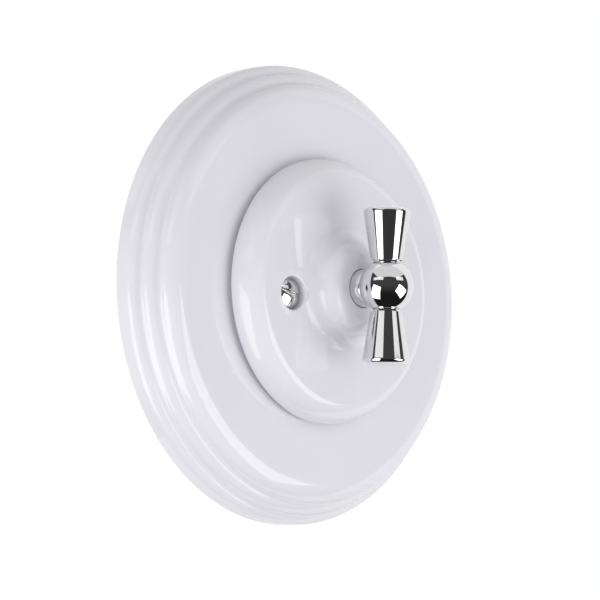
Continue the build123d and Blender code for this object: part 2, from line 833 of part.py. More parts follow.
# Triac: a moulded body with its metal tab flat on the heat sink, from the sink's lower end
with BuildPart() as triac:
    with BuildSketch(at_height(sink_front)):
        with Locations((-strip_centre, sink_foot + triac_body_length / 2)):
            Rectangle(triac_width, triac_body_length)
    extrude(amount=triac_body_height)
    tab_middle = triac_shoulder + triac_tab_length / 2
    with BuildSketch(at_height(sink_front)):
        with Locations((-strip_centre, tab_middle)):
            Rectangle(triac_width, triac_tab_length)
            Circle(triac_hole_radius, mode=Mode.SUBTRACT)
    extrude(amount=triac_tab_thickness)
triac.part.label = "triac"
export_step(triac.part, "parts/triac.step")


# Choke: a ferrite rod in a single layer of thick wire
with BuildPart() as choke_rod:
    with BuildSketch(Plane.YZ.offset(choke_left)):
        with Locations((-choke_height, strip_centre)):
            Circle(choke_rod_radius)
    extrude(amount=choke_length)
choke_rod.part.label = "choke_rod"
export_step(choke_rod.part, "parts/choke_rod.step")

with BuildPart() as choke_winding:
    wound_left = choke_left + choke_end
    wound_right = choke_right - choke_end
    bore_z = strip_centre + choke_bore_radius
    crest_z = strip_centre + choke_wound_radius
    root_z = crest_z - choke_wire_radius
    with BuildSketch(at_height(choke_height)):
        with BuildLine():
            for turn in range(choke_turns):
                turn_left = wound_left + 2 * choke_wire_radius * turn
                ThreePointArc(
                    (turn_left, root_z),
                    (turn_left + choke_wire_radius, crest_z),
                    (turn_left + 2 * choke_wire_radius, root_z),
                )
            Polyline((wound_left, root_z), (wound_left, bore_z), (wound_right, bore_z), (wound_right, root_z))
        make_face()
    revolve(axis=choke_axis)
choke_winding.part.label = "choke_winding"
export_step(choke_winding.part, "parts/choke_winding.step")


# Film capacitor: a moulded block beside the choke
with BuildPart() as film_capacitor:
    with BuildSketch(at_height(board_front)):
        with Locations((capacitor_x, strip_centre)):
            RectangleRounded(capacitor_length, capacitor_width, capacitor_round)
    extrude(amount=capacitor_height)
film_capacitor.part.label = "film_capacitor"
export_step(film_capacitor.part, "parts/film_capacitor.step")


# Fuse: a glass tube between two metal caps, held in a pair of sprung clips
with BuildPart() as fuse:
    with BuildSketch(at_height(fuse_height)):
        with Locations((strip_centre + fuse_radius / 2, fuse_middle)):
            Rectangle(fuse_radius, fuse_length)
        with Locations((strip_centre + fuse_radius, fuse_middle)):
            Rectangle(2 * fuse_cap_wall, fuse_length - 2 * fuse_cap_length, mode=Mode.SUBTRACT)
    revolve(axis=fuse_axis)
fuse.part.label = "fuse"
export_step(fuse.part, "parts/fuse.step")

with BuildPart() as fuse_clips:
    clip_outside = fuse_clip_half + fuse_clip_sheet
    cheek_height = fuse_height + fuse_clip_rise - board_front
    for side in (-1, 1):
        clip_foot = fuse_middle + side * fuse_clip_offset - fuse_clip_length / 2
        with BuildSketch(at_level(clip_foot)):
            with Locations((strip_centre, -board_front - cheek_height / 2)):
                Rectangle(2 * clip_outside, cheek_height)
            with Locations((strip_centre, -board_front - fuse_clip_sheet - cheek_height / 2)):
                Rectangle(2 * fuse_clip_half, cheek_height, mode=Mode.SUBTRACT)
        extrude(amount=fuse_clip_length)
fuse_clips.part.label = "fuse_clips"
export_step(fuse_clips.part, "parts/fuse_clips.step")


# Terminal clamps: brass blocks with a wire bore, a clamp thread and a tail on the board
with BuildPart() as terminal_clamps:
    with BuildSketch(at_height(housing_inside)):
        with Locations(*terminal_places):
            RectangleRounded(terminal_width, terminal_height, terminal_round)
    extrude(amount=terminal_depth)
    tail_end = board_lower + terminal_tail_lap
    with BuildSketch(at_height(board_front)):
        with Locations(*[(x, (terminal_top + tail_end) / 2) for x in terminal_xs]):
            Rectangle(terminal_tail_width, tail_end - terminal_top)
    extrude(amount=terminal_tail_thickness)
    terminal_front = housing_inside + terminal_depth
    rods(terminal_places, wire_radius, housing_inside, terminal_front, Mode.SUBTRACT)
    with BuildSketch(at_level(terminal_foot)):
        with Locations(*clamp_places):
            Circle(clamp_bore_radius)
    extrude(amount=terminal_height / 2, mode=Mode.SUBTRACT)
terminal_clamps.part.label = "terminal_clamps"
export_step(terminal_clamps.part, "parts/terminal_clamps.step")


# Terminal screws: from below, each clamping a wire in its bore
with BuildPart() as terminal_screws:
    with BuildSketch(at_level(terminal_foot)):
        with Locations(*clamp_places):
            Circle(clamp_screw_radius)
    extrude(amount=clamp_tip - terminal_foot)
    with BuildSketch(at_level(terminal_foot)):
        with Locations(*clamp_places):
            Circle(clamp_head_radius)
    extrude(amount=-clamp_head_height)
    with BuildSketch(at_level(terminal_foot - clamp_head_height)):
        with Locations(*clamp_places):
            Rectangle(2 * clamp_head_radius, clamp_slot_width)
    extrude(amount=clamp_slot_depth, mode=Mode.SUBTRACT)
terminal_screws.part.label = "terminal_screws"
export_step(terminal_screws.part, "parts/terminal_screws.step")
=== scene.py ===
# Porcelain rotary dimmer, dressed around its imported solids
import json
from math import atan2, cos, degrees, pi, radians, sin, sqrt

import bmesh
import bpy
from mathutils import Matrix, Quaternion, Vector


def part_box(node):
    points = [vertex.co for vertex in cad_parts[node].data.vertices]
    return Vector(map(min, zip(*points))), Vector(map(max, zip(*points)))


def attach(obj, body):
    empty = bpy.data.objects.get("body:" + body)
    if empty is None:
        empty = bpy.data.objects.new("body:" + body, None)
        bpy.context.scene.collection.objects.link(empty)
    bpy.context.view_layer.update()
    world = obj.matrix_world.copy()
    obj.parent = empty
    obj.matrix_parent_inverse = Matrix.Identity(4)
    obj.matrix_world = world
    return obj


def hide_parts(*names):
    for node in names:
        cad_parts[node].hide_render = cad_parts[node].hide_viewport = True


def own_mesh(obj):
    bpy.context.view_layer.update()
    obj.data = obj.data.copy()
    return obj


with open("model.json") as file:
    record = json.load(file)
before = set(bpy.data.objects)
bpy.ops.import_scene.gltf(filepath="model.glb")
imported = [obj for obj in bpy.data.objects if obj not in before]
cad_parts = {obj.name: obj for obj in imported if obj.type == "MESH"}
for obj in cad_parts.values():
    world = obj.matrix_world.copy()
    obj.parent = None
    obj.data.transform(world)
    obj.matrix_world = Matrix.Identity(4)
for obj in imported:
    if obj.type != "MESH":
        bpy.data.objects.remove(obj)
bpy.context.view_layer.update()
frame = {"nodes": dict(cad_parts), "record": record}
nodes = frame["nodes"]
scene = bpy.context.scene
scene.view_settings.view_transform = "Standard"
mm = 0.001
print("frame loaded:", len(nodes), "nodes")


# Colour and node helpers

def linear(hexColour):
    # an sRGB hex value as linear light
    parts = [int(hexColour[i:i + 2], 16) / 255 for i in (1, 3, 5)]
    light = [part / 12.92 if part < 0.04045 else ((part + 0.055) / 1.055) ** 2.4 for part in parts]
    return (*light, 1.0)


def perMm(size):
    return 1 / (size * mm)  # texture scale that repeats about every so many millimetres


def addNode(tree, kind, settings=None, links=None):
    node = tree.nodes.new(kind)
    for name, value in (settings or {}).items():
        if isinstance(name, int) or name in node.inputs:
            node.inputs[name].default_value = value
        else:
            setattr(node, name, value)
    for name, source in (links or {}).items():
        tree.links.new(source, node.inputs[name])
    return node


def startMaterial(name, sockets):
    material = bpy.data.materials.new(name)
    material.use_nodes = True
    tree = material.node_tree
    shader = tree.nodes["Principled BSDF"]
    for socket, value in sockets.items():
        shader.inputs[socket].default_value = value
    where = addNode(tree, "ShaderNodeTexCoord").outputs["Object"]
    return material, tree, shader, where


# Materials

def mottle(tree, shader, where, first, second, sizeMm, detail):
    # clouds of two near colours; 6 and 7 are a colour mix's inputs, 2 is its result
    cloud = addNode(tree, "ShaderNodeTexNoise", {"Scale": perMm(sizeMm), "Detail": detail},
                    {"Vector": where})
    tint = addNode(tree, "ShaderNodeMix", {"data_type": "RGBA", 6: linear(first), 7: linear(second)},
                   {0: cloud.outputs["Fac"]})
    tree.links.new(tint.outputs[2], shader.inputs["Base Color"])


def unevenSurface(tree, socket, where, sizeMm, depthMm, detail=1.0, strength=1.0):
    # a surface that isn't quite flat
    swell = addNode(tree, "ShaderNodeTexNoise", {"Scale": perMm(sizeMm), "Detail": detail},
                    {"Vector": where})
    bump = addNode(tree, "ShaderNodeBump", {"Strength": strength, "Distance": depthMm * mm},
                   {"Height": swell.outputs["Fac"]})
    tree.links.new(bump.outputs["Normal"], socket)


def glazedPorcelain():
    # hard porcelain under a clear fired glaze: cool white, wet gloss that ripples a little
    look = dict(body="#e9e8ee", thin="#e2e1e9", cloudMm=22.0, rippleMm=7.0, rippleDepthMm=0.012)
    material, tree, shader, where = startMaterial("glazed porcelain", {
        "Roughness": 0.5,
        "IOR": 1.5,
        "Specular IOR Level": 0.35,
        "Coat Weight": 1.0,
        "Coat Roughness": 0.04,
        "Coat IOR": 1.52,
    })
    mottle(tree, shader, where, look["body"], look["thin"], look["cloudMm"], detail=2.0)
    unevenSurface(tree, shader.inputs["Coat Normal"], where, look["rippleMm"], look["rippleDepthMm"])
    return material


def polishedMetal(name, colour, roughness, hazeRoughness, hazeMm, waveMm, waveDepthMm):
    # a plain metal whose gloss comes and goes in a faint haze
    material, tree, shader, where = startMaterial(name, {"Base Color": linear(colour), "Metallic": 1.0})
    haze = addNode(tree, "ShaderNodeTexNoise", {"Scale": perMm(hazeMm), "Detail": 3.0},
                   {"Vector": where})
    gloss = addNode(tree, "ShaderNodeMapRange", {"To Min": roughness, "To Max": hazeRoughness},
                    {"Value": haze.outputs["Fac"]})
    tree.links.new(gloss.outputs[0], shader.inputs["Roughness"])
    unevenSurface(tree, shader.inputs["Normal"], where, waveMm, waveDepthMm)
    return material


def mouldedPlastic(name, colour, other, roughness, grainMm, grainDepthMm, cloudMm=6.0, strength=0.6):
    # a moulded or pressed surface; its grain is drawn coarse enough to show
    material, tree, shader, where = startMaterial(name, {"Roughness": roughness, "IOR": 1.5})
    mottle(tree, shader, where, colour, other, cloudMm, detail=4.0)
    unevenSurface(tree, shader.inputs["Normal"], where, grainMm, grainDepthMm, detail=2.0,
                  strength=strength)
    return material


finishes = {
    "porcelain": glazedPorcelain(),
    # bright chromium on polished brass: a clear, faintly cool mirror
    "chrome": polishedMetal("chromium plate", "#e8e8ea", roughness=0.03, hazeRoughness=0.06, hazeMm=4.0,
                            waveMm=3.0, waveDepthMm=0.001),
    # nickel on turned screws: a softer, warmer mirror
    "nickel": polishedMetal("nickel plate", "#dbdad9", roughness=0.05, hazeRoughness=0.12, hazeMm=1.5,
                            waveMm=1.2, waveDepthMm=0.002),
    # zinc on sheet steel: bluish grey, a dull sheen in patches
    "zinc": polishedMetal("zinc plated steel", "#b9bcc2", roughness=0.28, hazeRoughness=0.42, hazeMm=3.0,
                          waveMm=0.8, waveDepthMm=0.004),
    # steel off the lathe: grey, a satin sheen
    "steel": polishedMetal("turned steel", "#b4b4b6", roughness=0.22, hazeRoughness=0.34, hazeMm=1.0,
                           waveMm=0.5, waveDepthMm=0.002),
    # bare milled brass: warm yellow, a satin sheen
    "brass": polishedMetal("brass", "#d8b36a", roughness=0.2, hazeRoughness=0.34, hazeMm=2.0,
                           waveMm=0.6, waveDepthMm=0.003),
    # rolled aluminium: pale grey, a broad dull sheen
    "aluminium": polishedMetal("aluminium sheet", "#c9cacc", roughness=0.3, hazeRoughness=0.45, hazeMm=2.0,
                               waveMm=0.6, waveDepthMm=0.003),
    # drawn copper wire under clear varnish: red brown and glossy
    "copper": polishedMetal("enamelled copper", "#b5602c", roughness=0.18, hazeRoughness=0.25, hazeMm=1.0,
                            waveMm=0.5, waveDepthMm=0.002),
    # glass fibres at a moulded skin: dark grey, matt and grainy
    "grey_plastic": mouldedPlastic("glass filled polyamide", "#4a4c50", "#53555a", roughness=0.5,
                                   grainMm=0.35, grainDepthMm=0.02),
    # pressed phenolic resin: near black, a low gloss
    "black_plastic": mouldedPlastic("black phenolic", "#1c1c1e", "#242427", roughness=0.42,
                                    grainMm=0.3, grainDepthMm=0.01),
    # moulded acetal: a milky, waxy white
    "white_plastic": mouldedPlastic("acetal", "#e4e1d8", "#dbd8ce", roughness=0.35,
                                    grainMm=0.5, grainDepthMm=0.006),
    # cast capacitor case: mustard yellow and glossy
    "yellow_plastic": mouldedPlastic("polyester capacitor case", "#d9a233", "#cf982c", roughness=0.25,
                                     grainMm=0.4, grainDepthMm=0.006),
    # pressed glass cloth under solder lacquer: dark green, half glossy
    "board": mouldedPlastic("epoxy glass board", "#2f6b44", "#2a613d", roughness=0.35,
                            grainMm=0.5, grainDepthMm=0.006),
    # printed carbon ink: brown black and dull
    "carbon": mouldedPlastic("carbon track", "#3a2f2a", "#332a26", roughness=0.7,
                             grainMm=0.2, grainDepthMm=0.004),
    # sintered ferrite: charcoal grey, dull and finely pitted
    "ferrite": mouldedPlastic("ferrite", "#3f3d3e", "#464445", roughness=0.75,
                              grainMm=0.2, grainDepthMm=0.01),
    # drawn glass over a pale filling: white with a hard gloss
    "glass": mouldedPlastic("fuse glass", "#dfe6e6", "#d6dede", roughness=0.08,
                            grainMm=2.0, grainDepthMm=0.001),
}
for row in frame["record"]["subparts"]:
    mesh = nodes[row["node"]].data
    mesh.materials.clear()
    mesh.materials.append(finishes[row["material_slot"]])
print("materials:", len(finishes))


# Turning and finishing helpers: a profile is drawn in X (radius) and Z (length), then spun about Z

weld = dict(turned=0.0005, facets=0.001)  # millimetres within which two vertices become one
frontward = Matrix.Rotation(radians(90), 4, "X")  # turns lengths along Z to heights in front of the wall


def startProfile(bm, radius, length):
    return bm.verts.new((radius * mm, 0, length * mm))


def lineTo(bm, vert, radius, length):
    end = bmesh.ops.extrude_vert_indiv(bm, verts=[vert])["verts"][0]
    end.co = (radius * mm, 0, length * mm)
    return end


def arcTo(bm, vert, centre, sweep, steps):
    swept = bmesh.ops.spin(bm, geom=[vert], cent=(centre[0] * mm, 0, centre[1] * mm), axis=(0, -1, 0),
                           angle=radians(sweep), steps=steps)
    return [part for part in swept["geom_last"] if isinstance(part, bmesh.types.BMVert)][0]


def spinProfile(bm, steps):
    bmesh.ops.remove_doubles(bm, verts=bm.verts[:], dist=weld["turned"] * mm)
    bmesh.ops.spin(bm, geom=bm.verts[:] + bm.edges[:], cent=(0, 0, 0), axis=(0, 0, 1), angle=2 * pi,
                   steps=steps, use_merge=True)
    bmesh.ops.remove_doubles(bm, verts=bm.verts[:], dist=weld["turned"] * mm)
    bmesh.ops.recalc_face_normals(bm, faces=bm.faces[:])


def makePiece(bm, name, place=Matrix.Identity(4)):
    bmesh.ops.transform(bm, matrix=place, verts=bm.verts[:])
    mesh = bpy.data.meshes.new(name)
    bm.to_mesh(mesh)
    bm.free()
    piece = bpy.data.objects.new(name, mesh)
    scene.collection.objects.link(piece)
    return piece


def combine(piece, tool, operation):
    change = piece.modifiers.new("combine", "BOOLEAN")
    change.solver = "EXACT"
    change.operation = operation
    change.object = tool
    bpy.context.view_layer.update()
    settled = piece.evaluated_get(bpy.context.evaluated_depsgraph_get())
    shaped = bpy.data.meshes.new_from_object(settled)
    piece.modifiers.clear()
    piece.data = shaped
    bpy.data.objects.remove(tool)


def finishPiece(piece, slot, body, *replaced, sharp=35):
    piece.data.materials.clear()
    piece.data.materials.append(finishes[slot])
    piece.data.shade_smooth()
    piece.data.set_sharp_from_angle(angle=radians(sharp))
    even = piece.modifiers.new("even shading", "WEIGHTED_NORMAL")
    even.keep_sharp = True
    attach(piece, body)
    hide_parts(*replaced)


# Wall plate

plate = dict(
    # height, width and round of each step, from the wall
    steps=[(5.2, 2.15, 2.15), (3.05, 2.45, 2.45), (3.95, 3.3, 3.0)],
    groove=1.3,
    crownRound=6.0,
    crownTurn=30,
    openingRadius=24.5,
    openingRound=1.2,
    recessRadius=41.5,
    recessHeight=6.7,
    recessRound=1.5,
    backRound=0.5,
    around=288,
)


def grooveCentre(lower, lowerRound, upper, upperRound, groove):
    # centre of the arc that touches two neighbouring rounds from outside
    apart = upper - lower
    reachLower, reachUpper = lowerRound + groove, upperRound + groove
    along = (reachLower ** 2 - reachUpper ** 2 + apart.length_squared) / (2 * apart.length)
    aside = sqrt(reachLower ** 2 - along ** 2)
    way = apart.normalized()
    return lower + way * along + Vector((way.y, -way.x)) * aside


def slope(way):
    return degrees(atan2(way.y, way.x))


def buildWallPlate():
    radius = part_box("wall_plate")[1].x / mm
    crownTurn = radians(plate["crownTurn"])
    rounds = []
    edge, foot = radius, 0
    for height, width, bend in plate["steps"]:
        foot += height
        rounds.append((Vector((edge - bend, foot - bend)), bend))
        edge -= width
    rounds[-1][0].y -= (plate["crownRound"] - plate["steps"][-1][2]) * (1 - cos(crownTurn))

    bm = bmesh.new()
    back = plate["backRound"]
    point = startProfile(bm, plate["recessRadius"], 0)
    point = lineTo(bm, point, radius - back, 0)
    point = arcTo(bm, point, (radius - back, back), 90, steps=5)
    point = lineTo(bm, point, radius, rounds[0][0].y)
    begin = 0
    for (centre, bend), (nextCentre, nextBend) in zip(rounds, rounds[1:]):
        # the glaze fills the foot of the next step with a soft hollow
        hollow = grooveCentre(centre, bend, nextCentre, nextBend, plate["groove"])
        point = arcTo(bm, point, centre, slope(hollow - centre) - begin, steps=18)
        begin, ended = slope(hollow - nextCentre), slope(hollow - centre)
        point = arcTo(bm, point, hollow, begin - ended, steps=14)

    # the last step eases into the flat front through a wider round
    centre, bend = rounds[-1]
    point = arcTo(bm, point, centre, 90 - plate["crownTurn"] - begin, steps=16)
    crown = centre - Vector((sin(crownTurn), cos(crownTurn))) * (plate["crownRound"] - bend)
    point = arcTo(bm, point, crown, plate["crownTurn"], steps=14)
    opening, lip = plate["openingRadius"], plate["openingRound"]
    point = lineTo(bm, point, opening + lip, foot)
    point = arcTo(bm, point, (opening + lip, foot - lip), 90, steps=8)
    point = lineTo(bm, point, opening, plate["recessHeight"])
    corner = plate["recessRadius"] - plate["recessRound"]
    point = lineTo(bm, point, corner, plate["recessHeight"])
    point = arcTo(bm, point, (corner, plate["recessHeight"] - plate["recessRound"]), -90, steps=8)
    lineTo(bm, point, plate["recessRadius"], 0)
    spinProfile(bm, plate["around"])
    piece = makePiece(bm, "porcelainPlate", frontward)
    finishPiece(piece, "porcelain", "root", "wall_plate")


buildWallPlate()
print("wall plate turned")


# Cover

cover = dict(
    radius=28.7,
    foot=12.2,
    gapHeight=1.0,
    gapDepth=1.7,
    rimRound=0.3,
    edgeHeight=1.3,
    shoulderWidth=4.3,
    shoulderHeight=6.3,
    frontRings=(22.0, 19.0, 16.5),  # keep the shading of the flat front even
    bossFoot=14.0,
    bossRise=5.1,
    bossRun=7.6,
    lipRound=0.2,
    stemHole=4.16,
    wall=4.4,
    rimWidth=4.6,
    cavityRound=1.2,
    screwOffset=16.3,
    counterbore=3.55,
    counterboreFloor=17.0,
    mouthRound=0.55,
    mouthTurn=82,
    mouthCutter=6.85,
    shankHole=1.8,
    screwBoss=4.95,
    screwBossFoot=13.0,
    overlap=1.0,  # how far a tool runs past the face that it joins or cuts
    around=288,
    bossAround=64,
    holeAround=96,
)
shoulderFoot = cover["foot"] + cover["edgeHeight"]
coverFront = shoulderFoot + cover["shoulderHeight"]
coverCeiling = coverFront - cover["wall"]
bossTop = coverFront + cover["bossRise"]


def turnCover():
    bm = bmesh.new()
    radius, foot = cover["radius"], cover["foot"]
    cavity = radius - cover["rimWidth"]
    point = startProfile(bm, cavity, foot)

    # a shadow gap: the rim ends just short of the plate, on a foot that is set back
    rim = foot + cover["gapHeight"]
    bend = cover["rimRound"]
    point = lineTo(bm, point, radius - cover["gapDepth"], foot)
    point = lineTo(bm, point, radius - cover["gapDepth"], rim)
    point = lineTo(bm, point, radius - bend, rim)
    point = arcTo(bm, point, (radius - bend, rim + bend), 90, steps=6)
    point = lineTo(bm, point, radius, shoulderFoot)

    # the shoulder: two arcs that meet at 45 degrees
    width, height = cover["shoulderWidth"], cover["shoulderHeight"]
    lower = ((1 + sqrt(2)) * height - width) / sqrt(2)
    upper = ((1 + sqrt(2)) * width - height) / sqrt(2)
    point = arcTo(bm, point, (radius - lower, shoulderFoot), 45, steps=18)
    point = arcTo(bm, point, (radius - width, coverFront - upper), 45, steps=12)
    for ring in cover["frontRings"]:
        point = lineTo(bm, point, ring, coverFront)

    # the boss: a hollow and a round of one radius
    turnUp = 2 * atan2(cover["bossRise"], cover["bossRun"])
    blend = cover["bossRun"] / (2 * sin(turnUp))
    crown = cover["bossFoot"] - cover["bossRun"]
    point = lineTo(bm, point, cover["bossFoot"], coverFront)
    point = arcTo(bm, point, (cover["bossFoot"], coverFront + blend), -degrees(turnUp), steps=18)
    point = arcTo(bm, point, (crown, bossTop - blend), degrees(turnUp), steps=18)

    # the stem hole and the hollow back
    hole, lip = cover["stemHole"], cover["lipRound"]
    point = lineTo(bm, point, hole + lip, bossTop)
    point = arcTo(bm, point, (hole + lip, bossTop - lip), 90, steps=6)
    point = lineTo(bm, point, hole, coverCeiling)
    bend = cover["cavityRound"]
    point = lineTo(bm, point, cavity - bend, coverCeiling)
    point = arcTo(bm, point, (cavity - bend, coverCeiling - bend), -90, steps=6)
    lineTo(bm, point, cavity, foot)
    spinProfile(bm, cover["around"])
    return makePiece(bm, "porcelainCover", frontward)


def makeScrewBoss(place):
    bm = bmesh.new()
    end = coverCeiling + cover["overlap"]
    point = startProfile(bm, 0, cover["screwBossFoot"])
    point = lineTo(bm, point, cover["screwBoss"], cover["screwBossFoot"])
    point = lineTo(bm, point, cover["screwBoss"], end)
    lineTo(bm, point, 0, end)
    spinProfile(bm, cover["bossAround"])
    return makePiece(bm, "screwBoss", place)


def makeScrewHole(place):
    # the hole's mouth is rounded by the glaze, so the cutter flares like a trumpet
    bm = bmesh.new()
    start = cover["screwBossFoot"] - cover["overlap"]
    end = bossTop + cover["overlap"]
    bore, mouth = cover["counterbore"], cover["mouthRound"]
    point = startProfile(bm, 0, start)
    point = lineTo(bm, point, cover["shankHole"], start)
    point = lineTo(bm, point, cover["shankHole"], cover["counterboreFloor"])
    point = lineTo(bm, point, bore, cover["counterboreFloor"])
    point = lineTo(bm, point, bore, coverFront - mouth)
    point = arcTo(bm, point, (bore + mouth, coverFront - mouth), -cover["mouthTurn"], steps=8)
    point = lineTo(bm, point, cover["mouthCutter"], end)
    lineTo(bm, point, 0, end)
    spinProfile(bm, cover["holeAround"])
    return makePiece(bm, "screwHole", place)


def buildCover():
    piece = turnCover()
    for side in (-1, 1):
        place = Matrix.Translation((side * cover["screwOffset"] * mm, 0, 0)) @ frontward
        combine(piece, makeScrewBoss(place), "UNION")
        combine(piece, makeScrewHole(place), "DIFFERENCE")
    finishPiece(piece, "porcelain", "root", "cover")


buildCover()
print("cover turned and drilled")


# Cover screws

screws = dict(
    headRadius=3.1,
    headFoot=cover["counterboreFloor"],
    edge=1.5,
    dome=0.8,
    shank=1.5,
    tip=6.7,
    slotWidth=1.0,
    slotDepth=1.1,
    slotTurn=-20,
    round=0.18,
    cornerAngle=25,
    around=64,
)
screwTop = screws["headFoot"] + screws["edge"] + screws["dome"]


def turnScrew():
    bm = bmesh.new()
    head, foot, dome = screws["headRadius"], screws["headFoot"], screws["dome"]
    sphere = (head ** 2 + dome ** 2) / (2 * dome)
    point = startProfile(bm, 0, screws["tip"])
    point = lineTo(bm, point, screws["shank"], screws["tip"])
    point = lineTo(bm, point, screws["shank"], foot)
    point = lineTo(bm, point, head, foot)
    point = lineTo(bm, point, head, foot + screws["edge"])
    arcTo(bm, point, (0, screwTop - sphere), degrees(atan2(head, sphere - dome)), steps=10)
    spinProfile(bm, screws["around"])
    return makePiece(bm, "screwHead")


def makeSlot(turned):
    # longer than the head is wide and half above it, so it cuts right across
    bm = bmesh.new()
    size = (4 * screws["headRadius"] * mm, screws["slotWidth"] * mm, 2 * screws["slotDepth"] * mm)
    bmesh.ops.create_cube(bm, size=1)
    bmesh.ops.scale(bm, vec=size, verts=bm.verts[:])
    bmesh.ops.translate(bm, vec=(0, 0, screwTop * mm), verts=bm.verts[:])
    return makePiece(bm, "slot", Matrix.Rotation(radians(turned), 4, "Z"))


def buildCoverScrews():
    joined = bmesh.new()
    for side in (-1, 1):
        screw = turnScrew()
        combine(screw, makeSlot(screws["slotTurn"] * -side), "DIFFERENCE")
        bm = bmesh.new()
        bm.from_mesh(screw.data)
        bpy.data.objects.remove(screw)
        corners = [edge for edge in bm.edges
                   if edge.is_manifold and edge.calc_face_angle() > radians(screws["cornerAngle"])
                   and min(vert.co.z for vert in edge.verts) > screws["headFoot"] * mm]
        bmesh.ops.bevel(bm, geom=corners, offset=screws["round"] * mm, offset_type="OFFSET", segments=3,
                        profile=0.5, affect="EDGES", material=-1)
        place = Matrix.Translation((side * cover["screwOffset"] * mm, 0, 0)) @ frontward
        bmesh.ops.transform(bm, matrix=place, verts=bm.verts[:])
        half = bpy.data.meshes.new("half")
        bm.to_mesh(half)
        bm.free()
        joined.from_mesh(half)
    piece = makePiece(joined, "coverScrewPair")
    finishPiece(piece, "nickel", "root", "cover_screws")


buildCoverScrews()
print("cover screws turned")


# Knob

knob = dict(
    ballHeight=31.7,
    ballRadius=5.85,
    seat=5.56,
    neck=2.82,
    collar=4.1,
    collarFoot=16.9,
    collarWaist=24.0,
    collarCurve=15.0,
    collarLean=14,
    armRoot=3.4,
    armEnd=4.96,
    armLength=11.2,
    armRound=0.9,
    restTurn=7.0,
    sharp=30,
    around=128,
)
atRest = (Matrix.Translation((0, -knob["ballHeight"] * mm, 0))
          @ Matrix.Rotation(radians(knob["restTurn"]), 4, "Y"))


def turnCollar():
    bm = bmesh.new()
    collar, waist, curve = knob["collar"], knob["collarWaist"], knob["collarCurve"]
    point = startProfile(bm, 0, knob["collarFoot"])
    point = lineTo(bm, point, collar, knob["collarFoot"])
    # in front of the porcelain the collar draws in a little, like a barrel
    point = lineTo(bm, point, collar, waist)
    point = arcTo(bm, point, (collar - curve, waist), knob["collarLean"], steps=16)
    lineTo(bm, point, 0, knob["ballHeight"])
    spinProfile(bm, knob["around"])
    return makePiece(bm, "collar", frontward)


def buildKnobBall():
    bm = bmesh.new()
    seat, neck = knob["seat"], knob["neck"]
    meet = sqrt(knob["ballRadius"] ** 2 - neck ** 2)
    point = startProfile(bm, 0, -seat)
    point = lineTo(bm, point, neck, -seat)
    point = lineTo(bm, point, neck, -meet)
    point = arcTo(bm, point, (0, 0), 2 * degrees(atan2(meet, neck)), steps=96)
    point = lineTo(bm, point, neck, seat)
    lineTo(bm, point, 0, seat)
    spinProfile(bm, knob["around"])
    piece = makePiece(bm, "chromeBall", atRest)
    combine(piece, turnCollar(), "UNION")
    finishPiece(piece, "chrome", "knob", "knob_ball", sharp=knob["sharp"])


def buildKnobArm(name, node, way):
    bm = bmesh.new()
    root, seat, bend = knob["armRoot"], knob["seat"], knob["armRound"]
    end = seat + knob["armLength"]
    lean = atan2(knob["armEnd"] - root, knob["armLength"])
    point = startProfile(bm, 0, seat)
    point = lineTo(bm, point, root, seat)
    # the side leans outwards and turns into the flat end through a small round
    centre = Vector((knob["armEnd"] - bend * (1 - sin(lean)) / cos(lean), end - bend))
    edge = centre + Vector((cos(lean), -sin(lean))) * bend
    point = lineTo(bm, point, edge.x, edge.y)
    point = arcTo(bm, point, centre, 90 + degrees(lean), steps=8)
    lineTo(bm, point, 0, end)
    spinProfile(bm, knob["around"])
    turnOver = Matrix.Rotation(0 if way > 0 else pi, 4, "X")
    piece = makePiece(bm, name, atRest @ turnOver)
    finishPiece(piece, "chrome", "knob", node, sharp=knob["sharp"])


buildKnobBall()
buildKnobArm("chromeArmUpper", "knob_arm_upper", 1)
buildKnobArm("chromeArmLower", "knob_arm_lower", -1)
print("knob turned")


# Insert: what shows behind the plate keeps its own form, with its facets merged and shaded smooth

def smoothNode(name, node, slot):
    bm = bmesh.new()
    bm.from_mesh(nodes[node].data)
    bmesh.ops.remove_doubles(bm, verts=bm.verts[:], dist=weld["facets"] * mm)
    piece = makePiece(bm, name)
    finishPiece(piece, slot, "root", node)
    return piece


smoothNode("insertHousing", "housing", "grey_plastic")
smoothNode("supportPlate", "mounting_strap", "zinc")
smoothNode("terminalBlocks", "terminal_clamps", "brass")
smoothNode("terminalScrewRow", "terminal_screws", "zinc")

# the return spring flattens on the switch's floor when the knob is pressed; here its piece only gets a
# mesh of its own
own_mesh(smoothNode("returnSpringLeaf", "return_spring", "steel"))
print("insert smoothed")


# Camera at the photograph's angle

shot = dict(
    azimuth=-46.96,
    elevation=-0.72,
    distance=1100.0,
    roll=-4.25,
    aimRight=4.55,
    aimUp=-1.28,
    focalPixels=5048.0,
    imagePixels=600,
    sensor=36.0,
    nearest=10.0,
)


def placeCamera():
    azimuth, elevation = radians(shot["azimuth"]), radians(shot["elevation"])
    level = Vector((sin(azimuth), -cos(azimuth), 0))
    towards = level * cos(elevation) + Vector((0, 0, sin(elevation)))
    upright = (-towards).to_track_quat("-Z", "Y")
    aim = upright @ Vector((shot["aimRight"] * mm, shot["aimUp"] * mm, 0))
    lens = bpy.data.cameras.new("photoCamera")
    lens.sensor_width = shot["sensor"]
    lens.lens = shot["sensor"] * shot["focalPixels"] / shot["imagePixels"]
    lens.clip_start = shot["nearest"] * mm
    camera = bpy.data.objects.new("photoCamera", lens)
    scene.collection.objects.link(camera)
    camera.location = aim + towards * shot["distance"] * mm
    camera.rotation_mode = "QUATERNION"
    camera.rotation_quaternion = upright @ Quaternion((0, 0, 1), radians(shot["roll"]))
    scene.camera = camera
    return camera.rotation_quaternion.copy()


photoTurn = placeCamera()


# Studio: a soft box with a dimmer flap on each side, a pale ceiling, and a dark room between

